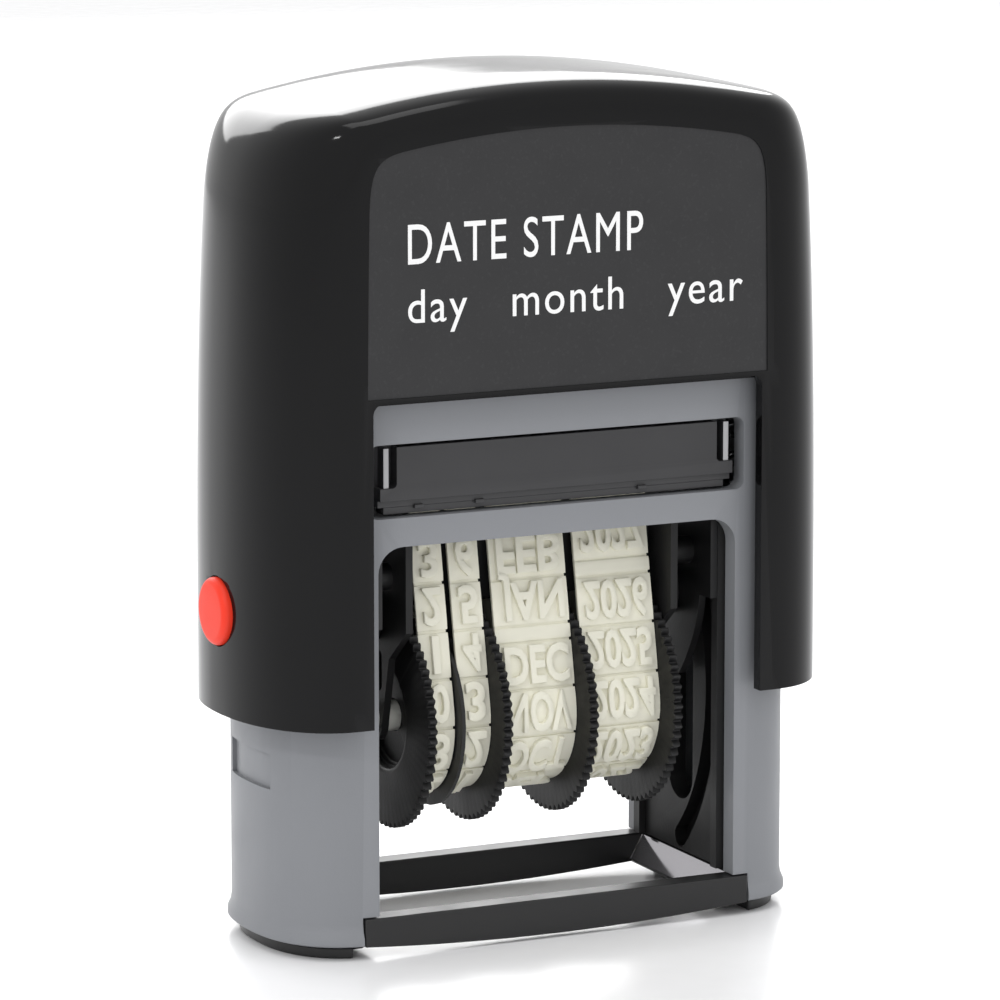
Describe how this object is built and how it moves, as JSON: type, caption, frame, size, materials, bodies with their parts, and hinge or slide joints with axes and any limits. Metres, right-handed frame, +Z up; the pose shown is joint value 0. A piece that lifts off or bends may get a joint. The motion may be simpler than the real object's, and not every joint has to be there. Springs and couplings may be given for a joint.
{
  "type": "self-inking rotary date stamp",
  "caption": "Self-inking date stamp: a cover pressed down a frame flips a carriage of rubber date bands, set by thumb wheels, from its ink pad to the paper.",
  "frame": {"origin": "centre of the foot plates' underside, on the table", "axes": "+Z up along the press stroke, +X along the width, -Y towards the user, so +Y is the thin direction"},
  "size_m": [0.0694, 0.03, 0.0918],
  "materials": {
    "black_gloss": "glossy moulded plastic with a finely grained front",
    "black_satin": "satin moulded plastic",
    "grey_housing": "satin moulded plastic",
    "cream_rubber": "matt moulded rubber",
    "white_nylon": "smooth nylon",
    "red_button": "glossy moulded plastic",
    "inked_felt": "felt soaked with black ink",
    "spring_steel": "drawn wire"
  },
  "bodies": {
    "frame": {"frame": "grey_housing", "base_frame": "black_satin", "guide_plate_left": "black_satin", "guide_plate_right": "black_satin", "return_spring_left": "spring_steel", "return_spring_right": "spring_steel"},
    "cover": {"cover": "black_gloss", "drive_arm_left": "black_satin", "drive_arm_right": "black_satin"},
    "button_left": {"lock_button_left": "red_button"},
    "button_right": {"lock_button_right": "red_button"},
    "ink_cartridge": {"ink_pad_case": "black_satin", "ink_pad": "inked_felt"},
    "carriage": {"carriage_plate_left": "black_satin", "carriage_plate_right": "black_satin", "platen": "black_satin", "band_axle": "white_nylon", "swing_arm_left": "black_satin", "swing_arm_right": "black_satin", "divider_disc": "black_satin", "day_tens_band": "cream_rubber", "day_units_band": "cream_rubber", "month_band": "cream_rubber", "year_band": "cream_rubber"},
    "day_tens": {"day_tens_wheel": "black_satin"},
    "day_units": {"day_units_wheel": "black_satin"},
    "month": {"month_wheel": "black_satin"},
    "year": {"year_wheel": "black_satin"}
  },
  "joints": [
    {"name": "cover_press", "type": "slide", "parent": "frame", "child": "cover", "axis": [0, 0, -1], "range_m": [0, 0.0208], "stiffness_N_per_m": 450, "springref_m": -0.012, "deforming": ["return_spring_left", "return_spring_right"]},
    {"name": "carriage_flip", "type": "hinge", "parent": "cover", "child": "carriage", "pos_m": [0, 0, 0.034], "axis": [1, 0, 0], "range_deg": [0, 180]},
    {"name": "pad_slide", "type": "slide", "parent": "frame", "child": "ink_cartridge", "axis": [0, 1, 0], "range_m": [-0.028, 0]},
    {"name": "button_left_press", "type": "slide", "parent": "cover", "child": "button_left", "axis": [1, 0, 0], "range_m": [0, 0.0008], "stiffness_N_per_m": 400, "springref_m": -0.001},
    {"name": "button_right_press", "type": "slide", "parent": "cover", "child": "button_right", "axis": [-1, 0, 0], "range_m": [0, 0.0008], "stiffness_N_per_m": 400, "springref_m": -0.001},
    {"name": "day_tens_turn", "type": "hinge", "parent": "carriage", "child": "day_tens", "pos_m": [0, 0, 0.023], "axis": [1, 0, 0], "continuous": true},
    {"name": "day_units_turn", "type": "hinge", "parent": "carriage", "child": "day_units", "pos_m": [0, 0, 0.023], "axis": [1, 0, 0], "continuous": true},
    {"name": "month_turn", "type": "hinge", "parent": "carriage", "child": "month", "pos_m": [0, 0, 0.023], "axis": [1, 0, 0], "continuous": true},
    {"name": "year_turn", "type": "hinge", "parent": "carriage", "child": "year", "pos_m": [0, 0, 0.023], "axis": [1, 0, 0], "continuous": true}
  ],
  "couplings": [
    {"joint": "carriage_flip", "follows": "cover_press", "rad_per_m": 151.03}
  ]
}
